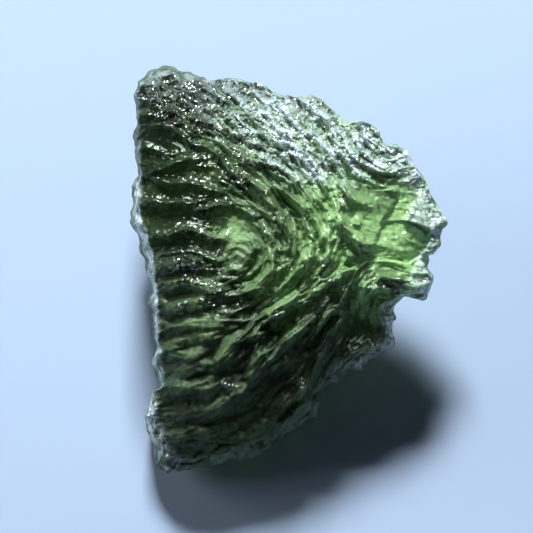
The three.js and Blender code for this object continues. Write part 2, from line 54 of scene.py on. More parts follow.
# The stone, in millimetres of its face: s runs right across it, t runs up it and h stands out of it
stone = {
    "leanDegrees": 20,  # the face's upper end is raised by this angle
    "restHeight": 8.4,  # middle of the face over the floor
    "crownAt": (-1.5, 0.0), "crownHeight": 3.2, "crownFullness": 2.3,
    "keelAt": (-5.0, -0.6), "keelDepth": 11.6, "keelFullness": 1.25,
    "cells": (54, 74),  # coarse cells across and up the face
    "finer": 4,  # cuts of each coarse cell
    "outlineSteps": 24,  # steps of the curve between two points of the outline
    "sideRows": 14,
    "gridPasses": 1500,
    "lobeEvening": 18,  # edge points to each side that are evened out before the swell is drawn
    # four runs of the outline, anticlockwise from the upper left corner
    "outline": [
        [(-11.3, 14.3), (-11.5, 13.1), (-11.5, 10.0), (-11.4, 7.2), (-11.8, 5.5), (-11.7, 3.4),
         (-11.2, 2.1), (-10.7, 0.0), (-10.4, -2.6), (-10.1, -5.0), (-10.1, -7.6), (-9.8, -9.1),
         (-10.5, -10.2), (-10.6, -12.2), (-10.0, -14.3)],
        [(-9.2, -15.7), (-7.9, -15.5), (-6.2, -15.0), (-3.6, -14.7), (-1.5, -13.9), (0.2, -12.6),
         (2.2, -11.4), (2.8, -10.2), (3.4, -8.8), (4.8, -8.1)],
        [(7.4, -6.4), (8.3, -5.7), (8.3, -3.9), (8.5, -2.7), (9.3, -2.1), (10.5, -2.1), (11.4, -1.1),
         (11.2, -0.3), (10.7, 0.5), (10.9, 1.1), (11.8, 1.8), (12.1, 3.1), (12.2, 4.0), (11.6, 5.3),
         (10.9, 6.4), (10.5, 7.6), (9.3, 8.7), (8.6, 9.7), (7.8, 9.6)],
        [(7.3, 10.5), (6.6, 11.3), (5.5, 11.5), (4.6, 11.2), (4.1, 11.6), (3.3, 12.8), (2.4, 13.2),
         (-0.4, 13.5), (-2.3, 14.5), (-3.8, 14.6), (-6.2, 14.8), (-8.1, 15.3), (-9.2, 16.0),
         (-10.4, 15.3)],
    ],
    # the edge: angle in degrees, height of the face's rim, depth of the side, how far the side stands out
    "edge": [
        (0, 0.3, 0.9, 0.3), (20, 0.4, 0.9, 0.3), (50, 0.0, 1.2, 0.2), (80, -0.6, 1.8, 0.1),
        (102, -0.8, 2.6, 0.1), (116, -0.6, 3.4, 1.1), (126, 0.6, 5.6, 0.3), (145, 1.6, 7.2, 0.5),
        (165, 2.0, 8.0, 0.9), (200, 2.0, 7.6, 0.6), (225, 1.0, 5.0, 0.6), (238, 0.3, 2.8, 1.3),
        (250, -0.6, 1.4, 0.5), (268, -0.9, 1.3, 0.5), (290, -0.8, 1.8, 0.8), (318, -0.3, 2.4, 0.8),
        (340, 0.2, 1.8, 0.6),
    ],
    # groups of crests: rise over the grooves, reach of the flanks, width of the blunt top, and the points
    # that each crest runs through
    "ridges": [
        # thin crests between the broad flutes of the broken side
        (0.65, 0.22, 0.02, [
            [(-11.4, 10.9), (-9.6, 11.1), (-8.4, 10.6), (-7.2, 9.7), (-5.8, 9.3), (-4.9, 8.5),
             (-4.1, 7.4), (-2.8, 6.5)],
            [(-10.9, 7.4), (-9.6, 7.7), (-8.2, 8.3), (-6.8, 8.4), (-5.5, 8.8)],
            [(-10.9, 7.3), (-9.5, 6.9), (-7.9, 6.6), (-6.7, 6.5), (-5.5, 6.0), (-4.2, 5.7)],
            [(-10.8, 5.6), (-10.1, 5.2), (-8.5, 5.15), (-6.8, 5.2), (-5.9, 5.5)],
            [(-7.2, 5.2), (-6.2, 4.6), (-5.2, 5.0), (-3.6, 4.7)],
            [(-10.5, 2.8), (-8.8, 2.8), (-7.5, 3.0), (-6.2, 2.8), (-5.2, 2.5), (-4.4, 2.8)],
            [(-9.6, 1.1), (-8.0, 1.3), (-6.4, 1.2), (-5.0, 0.7), (-4.5, 0.9)],
        ]),
        # thinner crests between the upper ones
        (0.32, 0.14, 0.02, [
            [(-11.3, 9.6), (-10.2, 9.4), (-9.0, 8.8), (-7.9, 9.0)],
            [(-9.4, 9.0), (-8.5, 8.4), (-6.8, 8.0), (-5.6, 7.9)],
        ]),
        # lower, softer crests below them
        (0.80, 0.30, 0.40, [
            [(-10.4, -0.2), (-9.0, 0.2), (-7.5, 0.5), (-5.8, 0.2)],
            [(-9.8, -1.3), (-7.5, -1.0), (-5.3, -1.5), (-3.7, -1.3)],
            [(-9.6, -2.9), (-7.5, -2.8), (-6.2, -2.5), (-4.7, -2.1)],
            [(-9.5, -4.9), (-7.5, -4.2), (-5.8, -4.0), (-3.5, -4.0)],
            [(-9.6, -5.9), (-7.9, -5.6), (-6.1, -5.1), (-4.1, -4.6)],
            [(-9.8, -5.9), (-8.9, -6.3), (-7.4, -6.6), (-5.5, -5.8)],
        ]),
        # rounder ridges of the lower end
        (0.95, 0.38, 0.40, [
            [(-8.7, -8.3), (-7.5, -7.7), (-6.5, -7.4), (-5.3, -7.4), (-3.9, -5.8), (-2.2, -5.3)],
            [(-9.0, -9.3), (-7.6, -9.0), (-6.2, -8.9), (-4.6, -8.2)],
            [(-6.6, -10.0), (-5.4, -9.1), (-3.9, -8.7)],
            [(-8.8, -11.2), (-6.8, -11.1), (-5.2, -10.3), (-3.8, -9.3), (-2.2, -9.1)],
            [(-9.2, -13.2), (-7.3, -12.8), (-5.8, -12.3), (-4.1, -12.0)],
            [(-1.4, -4.4), (-2.1, -5.2), (-2.1, -6.8), (-2.3, -8.2), (-2.4, -9.2)],
        ]),
        # bands from the upper edge down to the right
        (0.6, 0.34, 0.22, [
            [(-11.4, 13.7), (-10.3, 13.8), (-9.4, 13.4)],
            [(-10.7, 12.7), (-9.2, 12.3), (-8.2, 12.0)],
            [(-11.2, 11.7), (-10.2, 12.0), (-8.4, 11.3), (-6.8, 10.7)],
            [(-7.9, 12.6), (-6.4, 11.5), (-5.6, 10.9), (-4.6, 10.3)],
            [(-8.1, 14.0), (-6.4, 12.7), (-5.2, 12.3), (-4.2, 11.5), (-2.7, 10.0), (-1.2, 9.1)],
            [(-5.8, 14.3), (-4.1, 12.5), (-2.3, 11.4), (-0.7, 10.2), (0.5, 8.8)],
            [(-3.2, 14.0), (-1.5, 12.2), (0.2, 10.6), (1.8, 8.9), (2.8, 7.2)],
            [(-0.7, 13.2), (1.2, 11.2), (2.8, 9.2), (3.8, 7.5)],
            [(1.8, 12.9), (3.4, 11.0), (4.6, 9.2), (6.4, 7.6)],
            [(-3.9, 9.2), (-2.7, 8.6), (-1.5, 8.1), (-0.1, 6.8)],
        ]),
        # curls round the middle on its right
        (0.75, 0.45, 0.06, [
            [(-2.8, 6.9), (-1.8, 6.0), (-0.7, 4.6), (0.2, 2.9), (0.3, 1.2)],
            [(-4.4, 5.4), (-2.7, 4.3), (-1.6, 3.2), (-0.9, 1.9), (-0.9, 0.4), (-1.8, -1.0)],
            [(-0.4, 6.2), (1.4, 4.2), (1.8, 3.0), (2.0, 1.8), (1.8, 0.6), (1.5, -0.5), (0.4, -1.7)],
            [(1.2, 7.1), (3.2, 4.5), (3.4, 3.0), (3.4, 1.8), (3.1, 0.6), (1.9, -0.8), (0.9, -2.0)],
            [(2.5, 8.1), (3.8, 5.4), (4.2, 3.8), (4.9, 2.8), (5.9, 1.9), (6.7, 1.8)],
        ]),
        # small arcs in the middle
        (0.16, 0.2, 0.03, [
            [(-4.9, 1.2), (-3.9, 1.7), (-2.9, 1.5), (-2.5, 0.9), (-2.9, 0.3)],
            [(-4.4, 0.7), (-3.6, 1.1), (-3.1, 0.7)],
            [(-2.8, 2.1), (-2.0, 1.0), (-2.3, 0.0), (-3.1, -0.6)],
            [(-4.6, -0.2), (-3.7, -0.1), (-2.9, -0.9)],
        ]),
        # sweeps from the right down to the lower left
        (0.95, 0.5, 0.05, [
            [(4.5, -0.2), (3.6, -0.9), (2.3, -1.7), (1.2, -2.4), (-0.3, -3.2), (-1.8, -4.1),
             (-4.5, -6.3)],
            [(4.1, -1.4), (2.8, -2.7), (1.9, -3.9), (0.2, -5.3), (-1.3, -7.1), (-3.0, -8.1)],
            [(1.0, -5.9), (2.0, -4.9), (2.9, -3.7), (3.5, -3.1), (4.1, -3.2), (4.2, -3.8), (3.3, -4.8),
             (2.8, -5.7)],
            [(0.6, -6.5), (-0.4, -7.2), (-1.3, -8.0)],
            [(4.5, -4.1), (3.2, -5.9), (2.3, -7.6), (1.7, -8.9), (-0.1, -10.5), (-2.7, -12.8),
             (-5.5, -14.0)],
            [(1.7, -9.9), (0.4, -11.2), (-1.1, -12.5)],
            [(9.5, -1.9), (7.6, -2.3), (7.1, -2.8), (7.3, -3.5), (7.8, -4.3), (7.4, -5.6), (5.6, -6.2),
             (4.3, -7.6)],
            [(6.8, 0.0), (6.2, -1.3), (5.6, -2.2), (5.2, -3.7)],
            [(4.6, -0.8), (4.4, -2.1), (4.5, -4.1)],
            [(8.0, -1.6), (6.9, -1.5), (6.3, -2.4), (6.1, -4.0)],
        ]),
        # low folds across the thin right side
        (0.45, 0.36, 0.04, [
            [(4.5, 11.2), (5.2, 8.8), (7.4, 7.4), (9.6, 8.0)],
            [(4.1, 6.7), (4.6, 5.7), (5.4, 5.2), (6.7, 4.7)],
            [(3.8, 5.2), (4.6, 4.7)],
            [(5.1, 3.7), (5.9, 3.4)],
            [(6.8, 0.0), (8.2, -0.5), (9.6, -1.2), (11.2, -1.1)],
        ]),
    ],
    # panes of the thin side, parted by folds: change of clearness and of its painted light, height and
    # frost, and their corners
    "panes": [
        (-0.40, 0.16, 0.0, [(3.9, 6.9), (5.6, 6.8), (6.9, 6.3), (7.1, 5.0), (7.4, 3.65), (7.2, 2.8),
                            (6.4, 1.2), (4.9, 0.8), (4.1, 2.1), (4.2, 4.4)]),
        (-0.60, 0.30, 0.0, [(6.9, 6.1), (8.7, 6.2), (8.5, 5.4), (7.9, 4.4), (7.4, 3.65), (7.05, 5.0)]),
        (0.10, -0.20, 0.0, [(7.4, 3.7), (9.3, 3.75), (10.9, 2.9), (10.8, 1.6), (9.5, 0.45), (8.3, 0.75),
                            (6.9, 0.7), (6.5, 1.1), (7.2, 2.8)]),
        (-0.10, -0.12, 0.0, [(8.9, 1.1), (9.4, 2.2), (10.7, 1.7), (10.3, 1.0), (9.5, 0.5)]),
        (-0.10, -0.10, 0.0, [(9.7, 2.5), (9.9, 3.1), (10.9, 2.8), (10.9, 1.8), (10.2, 2.0)]),
        (-0.90, -0.30, 0.0, [(9.1, 3.75), (10.6, 2.9), (11.0, 2.75), (10.9, 3.1), (9.9, 3.55)]),
        (-0.20, 0.32, 0.5, [(11.2, 6.3), (10.9, 6.1), (10.1, 5.3), (9.1, 3.8), (11.0, 3.2), (11.1, 2.3),
                            (10.7, 1.0), (9.9, 0.1), (9.4, -0.8), (9.9, -1.6), (11.5, -1.3), (11.4, 0.3),
                            (12.3, 2.0), (12.4, 4.1)]),
        (-0.45, -0.05, 0.0, [(6.9, 0.1), (7.9, 0.4), (8.6, 0.0), (9.4, -1.2), (8.1, -1.7), (7.3, -0.9)]),
    ],
    "paneSoft": 0.05,  # half width of their soft edge
    # crests: steps of the curve between two points, rounding of the top, and what a blunt top's width adds
    "crestSteps": 4, "crestRounding": 0.05, "flatRounding": 0.6,
    # share of a crest over which it sinks to its end, height left there, unevenness and its row of noise
    "crestEndShare": 0.25, "crestEndHeight": 0.35, "crestUneven": 0.3, "crestNoiseRow": 7.3,
    "crestBlend": 4,  # how sharply the higher of two crests shows
    "crestMargin": 5,  # how many reaches out a crest is worked out
    # directions of the crests spread over the face: step and corners of their grid, fall of the weight
    "flow": {"step": 0.25, "low": (-13.5, -17.5), "high": (13.5, 17.5), "near": 0.2, "power": 1.5},
    # hollows of the face: place, radius, depth
    "hollows": [((-3.4, 4.0), 1.9, 0.7), ((7.8, 4.2), 3.0, 0.7), ((5.7, -4.0), 1.9, 1.3)],
    # underside: lengths and depth of its waves, how they waver and how late they fade to the edge
    "waves": {"s": 5.6, "t": 4.8, "deep": 0.5, "waver": 0.6, "fade": 6},
    "scoop": ((5.5, 3.5), 7.0, 3.2),  # wide hollow under the thin side: place, radius, depth
    "flutes": {"degrees": 12, "deep": 0.16},  # of the side
    "bevel": 4,  # how soon below the rim the side is upright
    "warp": (1.6, 0.2), "jag": (0.5, 0.08),  # slow and quick wander of the crests: wave and shift
    # bowls drawn out along the flow: size, stretch, height of their edges without and with glitter
    "bowls": [(1.5, 3.6, 0.5, 0.36), (0.75, 2.4, 0.16, 0.28)],
    "bowlCap": 3, "bowlEdges": (0.5, 1.5),  # highest edge, and where its frost starts and is full
    # creases along the flow: wave, length, width as a share of the noise, depth without and with glitter
    "creases": [(0.9, 4.5, 0.16, 0.30, 0.2), (0.45, 2.0, 0.2, 0.13, 0.16)],
    "crinkle": [(0.8, 0.16), (0.35, 0.12)],  # wave and height
    "crinkleShare": 0.25,  # what is left of it without glitter
    "ridgedShape": (1.6, 0.2),  # gain and rounding of the crinkles and of the underside's grain
    "leastRelief": 0.08,  # fine relief left in the calmest place
    "frill": [(1.1, 0.2), (0.5, 0.09)],  # jags of the edge: wave and push
    "frillFrom": {"face": 0.86, "underside": 0.9},  # share of the way out where they start
    "sideLayers": [((2.6, 0.5), 0.16), ((0.7, 0.3), 0.06)],  # wave along and down the side, height
    # underside: wave and height of its grain; size, stretch and depth of its pits
    "backGrain": [(1.4, 0.14), (0.6, 0.06)], "backBowls": [(2.0, 1.6, 0.45), (1.0, 1.4, 0.22)],
    # places with less fine relief: s, t, radius, share that is lacking
    "calm": [
        (7.6, 3.2, 3.0, 0.9), (5.5, 5.5, 1.8, 0.6), (-9.3, 8.5, 2.6, 0.9), (-9.8, 10.4, 1.3, 0.8),
        (-9.0, 4.5, 2.6, 0.9), (-8.5, 1.5, 2.4, 0.85), (-8.6, -2.0, 2.0, 0.6), (-8.0, -6.0, 2.6, 0.35),
        (-7.5, -10.5, 3.4, 0.5), (-6.0, 6.8, 2.0, 0.8), (-5.4, -3.6, 2.0, 0.2), (-5.6, 0.0, 1.6, 0.6),
        (-3.9, 3.2, 1.6, 0.9), (-5.8, 12.0, 0.9, 0.7), (-3.2, 8.0, 1.0, 0.6), (-8.2, 13.0, 0.8, 0.5),
        (5.6, -4.2, 1.8, 0.9), (-3.4, 0.8, 1.3, 0.7), (10.6, 4.6, 1.8, 0.7), (10.8, 1.0, 1.8, 0.8),
        (9.8, 7.0, 1.4, 0.5), (-6.8, -4.2, 2.6, 0.45), (-6.2, -8.6, 3.0, 0.35), (-4.0, -9.0, 3.0, 0.3),
        (1.0, -8.0, 2.6, 0.3), (-2.5, -12.0, 3.0, 0.2),
    ],
    # lower bound of the frosted part along the upper edge: s and t
    "frostLine": [(-12, 13.2), (-8, 12.4), (-4, 8.9), (0, 6.6), (3, 6.3), (8, 7.0), (10.5, 5.6),
                  (12.5, 4.0)],
    "frostLineSoft": (-0.8, 1.6),  # from how far under the line to how far over it frost sets in
    # frost of that part: least share between the bowls' edges, share on the left and where it is full, loss
    # at the top of the middle
    "upperFrost": {"least": 0.42, "left": 0.2, "toRight": (-8, 1),
                   "topLoss": 0.3, "topAt": 4, "topSlope": 0.9, "top": (8.5, 12)},
    # glitter on the tops of the upper crests: share, heights and t between which it sets in
    "crestGlitter": {"share": 0.3, "heights": (0.35, 0.65), "above": (-2, 0)},
    "frostGlitter": 0.6,  # glitter of frost
    "facetedFrom": 0.5,  # glitter from which faces are shaded flat
    # glittering patches: s, t, radius, share
    "glitter": [
        (-10.4, 13.6, 1.0, 1.0), (-9.7, 12.4, 0.6, 0.8), (-8.6, 11.4, 1.1, 0.9), (-6.6, 10.8, 0.7, 0.8),
        (-6.0, 11.2, 0.9, 0.9), (-7.2, 9.5, 0.6, 0.7), (-5.0, 8.7, 0.7, 0.8), (-4.2, 7.6, 0.7, 0.9),
        (-3.2, 6.6, 0.8, 0.8), (-2.4, 8.5, 1.0, 0.9), (-6.4, 8.0, 0.7, 0.6), (-7.0, 6.5, 0.8, 0.6),
        (-6.1, 4.7, 0.7, 0.8), (-4.9, 5.0, 0.6, 0.8), (-7.6, 3.0, 0.6, 0.7), (-5.6, 2.6, 0.9, 1.0),
        (-7.3, 0.35, 1.0, 1.0), (-5.4, -0.2, 0.5, 0.5), (-5.6, -2.4, 0.9, 1.0), (-7.8, -2.9, 0.6, 0.8),
        (-3.4, -2.4, 0.4, 0.9), (-1.2, -3.8, 0.6, 1.0), (3.0, 0.4, 0.6, 1.0), (3.9, -1.0, 0.5, 0.9),
        (2.6, -3.2, 0.6, 0.9), (7.3, -4.5, 0.5, 0.6), (8.6, -1.4, 0.9, 1.0), (7.3, -1.0, 0.5, 0.8),
        (5.9, 1.7, 0.6, 1.0), (4.6, 5.6, 0.7, 0.8), (6.4, 4.8, 0.5, 0.8), (5.4, 3.5, 0.4, 0.8),
        (4.3, 3.2, 0.5, 0.9), (0.3, 0.4, 0.5, 0.8), (-0.4, 1.6, 0.5, 0.8), (7.8, 2.8, 2.6, -0.8),
        (-9.7, 10.2, 1.4, -0.9), (0.9, -8.6, 0.4, 1.0), (-4.3, -8.8, 0.5, 0.6), (-2.9, 4.0, 0.5, 0.2),
        (9.4, 4.4, 0.7, 0.6), (7.0, 7.2, 1.0, 0.8),
    ],
    # how clear the glass is over a base, with painted light in it: lighter patches paint light shining
    # through the thin side and the middle, darker ones paint shade on the upper left; s, t, radius, share;
    # crests are painted lighter as a highlight and creases darker as shade
    "clearBase": 0.1, "crestHighlight": {"share": 0.2, "heights": (0.7, 1.0)}, "creaseShade": 0.45,
    "clear": [
        (7.6, 3.2, 4.5, 1.0), (2.5, 2.0, 3.5, 0.55), (-4.0, 3.2, 1.7, 0.6), (4.0, 9.5, 4.5, 0.5),
        (-1.5, -0.8, 2.4, 0.35), (-6.5, -4.2, 2.2, 0.22), (0.0, -1.5, 2.0, 0.3), (9.5, -1.0, 2.0, 0.5),
        (-3.0, 11.0, 3.0, 0.3), (0.5, -4.0, 2.0, 0.2), (-6.5, -1.0, 1.5, 0.15), (5.7, -4.2, 1.8, 0.02),
        (6.2, 1.2, 1.2, -0.2), (-1.0, 9.8, 3.0, 0.25), (2.5, 9.0, 3.0, 0.2), (-9.6, 10.2, 1.8, -0.15),
        (-7.0, -10.0, 2.2, -0.06), (-4.0, -13.0, 3.0, 0.12),
    ],
    # how cloudy it is over a base, which turns light back: s, t, radius, share
    "cloudyBase": 0.42,
    "cloudy": [
        (7.6, 3.2, 4.0, 0.3), (-4.0, 3.2, 1.7, 0.2), (-9.0, 6.0, 3.5, -0.2), (-9.0, 1.0, 2.5, -0.2),
        (-9.6, 10.2, 1.8, -0.35), (-7.0, -9.8, 2.5, -0.2),
    ],
    # how matte it is over a base: s, t, radius, share
    "matteBase": 0.4,
    "matte": [(7.6, 3.2, 3.5, -0.3), (-4.0, 3.2, 1.7, 0.6), (-6.0, -10.0, 5.0, 0.4),
              (0.0, -9.0, 5.0, 0.4), (-6.5, -4.5, 3.0, 0.3), (-9.5, 6.0, 4.0, -0.35)],
    # how frosted the edge is: angle in degrees, share, width as a share of the way in
    "frostEdge": [
        (0, 0.8, 0.10), (20, 0.8, 0.14), (50, 0.7, 0.12), (80, 0.5, 0.06), (110, 0.4, 0.05),
        (135, 0.4, 0.03), (150, 0.8, 0.03), (165, 1.2, 0.03), (200, 1.0, 0.03), (225, 0.8, 0.04),
        (240, 0.6, 0.05), (255, 0.3, 0.06), (270, 0.25, 0.08), (300, 0.3, 0.08), (330, 0.45, 0.08),
        (345, 0.7, 0.10),
    ],
    "frostBreaks": {"wave": 0.7, "range": (-0.35, 0.25), "least": 0.45},  # noise that breaks it up
    "sideFrost": {"depth": 1.8, "least": 0.08},  # how far down the side it fades, and what is left
    "sideMatte": 0.6,
    # looks of the underside; frost and clear, with the clear map's painted light, are shares of what the
    # edge and the face have there
    "underside": {"frost": 0.3, "glitter": 0.3, "clear": 0.5, "cloudy": 0.25, "matte": 0.4},
    # paler places of the side, frost with painted light where light falls on them: s, t, radius, share
    "paleSides": [(-10.5, -12.0, 1.8, 0.6), (-11.7, 4.5, 2.2, 0.5), (-10.6, -1.0, 2.5, 0.3),
                  (10.6, -1.4, 1.2, 0.3), (6.5, -7.0, 2.5, 0.25), (8.5, -4.0, 1.8, 0.35)],
    # first seeds of the noises
    "seeds": {"warp": 11, "uneven": 13, "jag": 16, "creases": 21, "crinkle": 31, "frill": 41,
              "backGrain": 51, "sideLayers": 61, "bowls": 71, "backBowls": 81, "frostBreaks": 91},
    # the glass
    "ior": 1.5, "specular": 0.18, "specularTint": (0.80, 1.0, 0.75),
    "absorption": {"colour": (0.52, 0.62, 0.30), "density": 300},
    # the dark tint is thick glass and painted shade, the clear tint is clear glass and a painted glow of
    # light shining through
    "darkAndShadedTint": (0.035, 0.065, 0.03), "clearAndLitTint": (0.60, 1.0, 0.41), "frostAndSheenColour": (0.80, 0.95, 1.0),
    "roughness": (0.15, 0.7),  # where it is least and most matte
    "coat": (0.0, 1.0), "etch": (0.12, 1.0),  # gloss and facets where it glitters least and most
    "coatRoughness": 0.08, "coatIor": 2.0,
    "scatter": {"weight": 0.3, "scale": 0.0003, "radius": (1.0, 1.0, 1.0)},
    "frostedSolid": 0.65,  # share of light that frost turns back
    "clouds": {"scale": 300, "detail": 3, "share": 0.3},
    "facets": {"scale": 4300, "slope": 1.9},
    "scallops": {"scale": 700, "distance": 0.0009},
    "chips": {"scale": 1500, "detail": 3,
              "range": {"From Min": 0.42, "From Max": 0.52, "To Min": 0.05, "To Max": 1.0}},
    "grain": {"scale": 1700, "detail": 4, "distance": -0.00017},
}


# Catmull-Rom curve through points along axis 0, each span cut into perSpan steps
def smoothCurve(points, perSpan):
    p = np.asarray(points, float)
    q = np.concatenate([2 * p[:1] - p[1:2], p, 2 * p[-1:] - p[-2:-1]])
    a, b, c, d = (x[:, None] for x in (q[:-3], q[1:-2], q[2:-1], q[3:]))
    u = (np.arange(perSpan) / perSpan).reshape((1, -1) + (1,) * (p.ndim - 1))
    curve = b + 0.5 * u * (c - a + u * (2 * a - 5 * b + 4 * c - d + u * (3 * (b - c) + d - a)))
    return np.concatenate([curve.reshape((-1,) + p.shape[1:]), p[-1:]])


# a path cut into equal lengths, its last point left out
def evenSteps(path, count):
    length = np.concatenate([[0], np.cumsum(np.linalg.norm(np.diff(path, axis=0), axis=1))])
    at = np.linspace(0, length[-1], count, endpoint=False)
    return np.stack([np.interp(at, length, path[:, 0]), np.interp(at, length, path[:, 1])], 1)


# places of a grid's border, anticlockwise from its upper left corner
def borderPlaces(across, up):
    a, u = np.arange(across), np.arange(up)
    i = np.concatenate([0 * u, a, 0 * u + across, across - a])
    j = np.concatenate([up - u, 0 * a, u, 0 * a + up])
    return i, j


# inner points settle between their neighbours, weighed by the cells' sides and skew so that no cell folds
def gridInside(border, across, up):
    g = np.zeros((across + 1, up + 1, 2))
    g[borderPlaces(across, up)] = border
    u = np.linspace(0, 1, across + 1)[:, None, None]
    v = np.linspace(0, 1, up + 1)[None, :, None]
    sides = (1 - u) * g[:1] + u * g[-1:] + (1 - v) * g[:, :1] + v * g[:, -1:]
    blend = (sides - (1 - u) * (1 - v) * g[0, 0] - u * (1 - v) * g[-1, 0]
             - (1 - u) * v * g[0, -1] - u * v * g[-1, -1])
    g[1:-1, 1:-1] = blend[1:-1, 1:-1]
    for _ in range(stone["gridPasses"]):
        along, upward = g[2:, 1:-1] - g[:-2, 1:-1], g[1:-1, 2:] - g[1:-1, :-2]
        weightAcross, weightUp = ((x * x).sum(2, keepdims=True) for x in (upward, along))
        skew = (along * upward).sum(2, keepdims=True) / 2
        twist = g[2:, 2:] - g[:-2, 2:] - g[2:, :-2] + g[:-2, :-2]
        drawn = weightAcross * (g[2:, 1:-1] + g[:-2, 1:-1]) + weightUp * (g[1:-1, 2:] + g[1:-1, :-2])
        g[1:-1, 1:-1] = (drawn - skew * twist) / (2 * (weightAcross + weightUp))
    return g


# a settled grid inside a loop, each of its cells cut into finer ones by curves through its points
def fineGrid(border, finer):
    grid = gridInside(border, *stone["cells"])
    return smoothCurve(smoothCurve(grid, finer).swapaxes(0, 1), finer).swapaxes(0, 1)


# gradient noise of unit cells, about -1 to 1: a random slope at each whole-number place, faded in between
def gradientNoise(x, y, seed):
    random = np.random.default_rng(seed)
    order, turn = random.permutation(256), random.uniform(0, 2 * np.pi, 256)
    slopeX, slopeY = np.cos(turn), np.sin(turn)
    i, j = np.floor(x).astype(int), np.floor(y).astype(int)
    u, v = x - i, y - j
    fadeU, fadeV = (w * w * w * (w * (6 * w - 15) + 10) for w in (u, v))

    def corner(a, b):
        k = order[(order[(i + a) & 255] + j + b) & 255]
        return slopeX[k] * (u - a) + slopeY[k] * (v - b)

    low = corner(0, 0) + fadeU * (corner(1, 0) - corner(0, 0))
    high = corner(0, 1) + fadeU * (corner(1, 1) - corner(0, 1))
    return 1.5 * (low + fadeV * (high - low))  # stretched to about -1 to 1


# noise with sharp crests where it passes zero and round grooves between: 1 - sqrt(noise^2 + soft^2)
def ridgedNoise(points, wave, seed):
    gain, soft = stone["ridgedShape"]
    noise = gradientNoise(*(points / wave).T, seed) * gain
    return 1 - np.sqrt(noise * noise + soft * soft)


# 0 up to low, 1 from high on, 3 u^2 - 2 u^3 between
def smoothStep(x, low, high):
    u = np.clip((x - low) / (high - low), 0, 1)
    return u * u * (3 - 2 * u)


# distance of points (n, 2) from a path, the share along it of the nearest spot, and the nearest piece
def nearPath(points, path):
    a, step = path[:-1], np.diff(path, axis=0)
    share = ((points[:, None] - a) * step).sum(2) / (step * step).sum(1)
    share = np.clip(share, 0, 1)
    gap = np.linalg.norm(points[:, None] - a - share[..., None] * step, axis=2)
    k = gap.argmin(1)
    rows = np.arange(len(points))
    return gap[rows, k], (k + share[rows, k]) / len(step), k


crests = [(rise, reach, flat, smoothCurve(points, stone["crestSteps"]))
          for rise, reach, flat, group in stone["ridges"] for points in group]


# wander of points: the shift times one noise for s and the next for t
def wander(points, wave, shift, seed):
    return shift * np.stack([gradientNoise(*(points / wave).T, seed + k) for k in (0, 1)], 1)


# height of the crests: rise * exp(-away / reach), where away is the distance beyond the blunt top, rounded
# off; they sink to their ends and are uneven, and where two meet the higher one shows
def crestRelief(points):
    seeds, low = stone["seeds"], stone["crestEndHeight"]
    blend = stone["crestBlend"]
    total = np.zeros(len(points))
    warped = points + wander(points, *stone["warp"], seeds["warp"])
    warped += wander(points, *stone["jag"], seeds["jag"])
    for k, (rise, reach, flat, path) in enumerate(crests):
        margin = flat + stone["crestMargin"] * reach
        near = ((warped > path.min(0) - margin) & (warped < path.max(0) + margin)).all(1)
        if not near.any():
            continue
        gap, along, _ = nearPath(warped[near], path)
        taper = low + (1 - low) * smoothStep(np.minimum(along, 1 - along), 0, stone["crestEndShare"])
        row = 0 * along + stone["crestNoiseRow"] * k
        noise = gradientNoise(along * len(path) / stone["crestSteps"], row, seeds["uneven"])
        uneven = 1 + stone["crestUneven"] * noise
        rounding = stone["crestRounding"] + stone["flatRounding"] * flat
        away = np.hypot(np.maximum(gap - flat / 2, 0), rounding) - rounding
        total[near] += (rise * uneven * taper * np.exp(-away / reach)) ** blend
    return total ** (1 / blend)


flowStep = stone["flow"]["step"]
flowLow, flowHigh = np.array(stone["flow"]["low"]), np.array(stone["flow"]["high"])


# directions of the crests spread over the face: doubled angles averaged, nearer and higher crests weigh more
def flowField():
    s, t = (np.arange(flowLow[k], flowHigh[k] + flowStep, flowStep) for k in (0, 1))
    grid = np.stack(np.meshgrid(s, t, indexing="ij"), 2)
    places = grid.reshape(-1, 2)
    total = np.zeros(places.shape)
    for rise, _, _, path in crests:
        gap, _, k = nearPath(places, path)
        step = np.diff(path, axis=0)
        double = 2 * np.arctan2(step[:, 1], step[:, 0])[k]
        weight = rise / (gap * gap + stone["flow"]["near"]) ** stone["flow"]["power"]
        total += weight[:, None] * np.stack([np.cos(double), np.sin(double)], 1)
    total /= np.linalg.norm(total, axis=1, keepdims=True) + 1e-9
    return total.reshape(grid.shape)


flow = flowField()
print("flow of", len(crests), "crests spread over the face")


# unit direction of the flow at points, turned to agree with the last direction
def flowAt(points, last):
    x = np.clip((points - flowLow) / flowStep, 0, np.array(flow.shape[:2]) - 1.001)  # up to the last cell
    i, j = x[:, 0].astype(int), x[:, 1].astype(int)
    u, v = (x[:, 0] - i)[:, None], (x[:, 1] - j)[:, None]
    left = (1 - v) * flow[i, j] + v * flow[i, j + 1]
    right = (1 - v) * flow[i + 1, j] + v * flow[i + 1, j + 1]
    double = (1 - u) * left + u * right
    angle = np.arctan2(double[:, 1], double[:, 0]) / 2
    way = np.stack([np.cos(angle), np.sin(angle)], 1)
    return way if last is None else way * np.where((way * last).sum(1) < 0, -1, 1)[:, None]


# noise drawn out along the flow: its weighted sum over a stretch of the flow line through each point, in
# steps of a third of a wave, brought to unit spread
def streaks(points, wave, length, seed):
    step = wave / 3
    count = int(length / step / 2)
    total = gradientNoise(*(points / wave).T, seed)
    for sign in (1, -1):
        place, way = points.copy(), flowAt(points, None) * sign
        for k in range(1, count + 1):
            place = place + step * way
            way = flowAt(place, way)
            total += (1 - k / (count + 1)) * gradientNoise(*(place / wave).T, seed)
    return total / total.std()


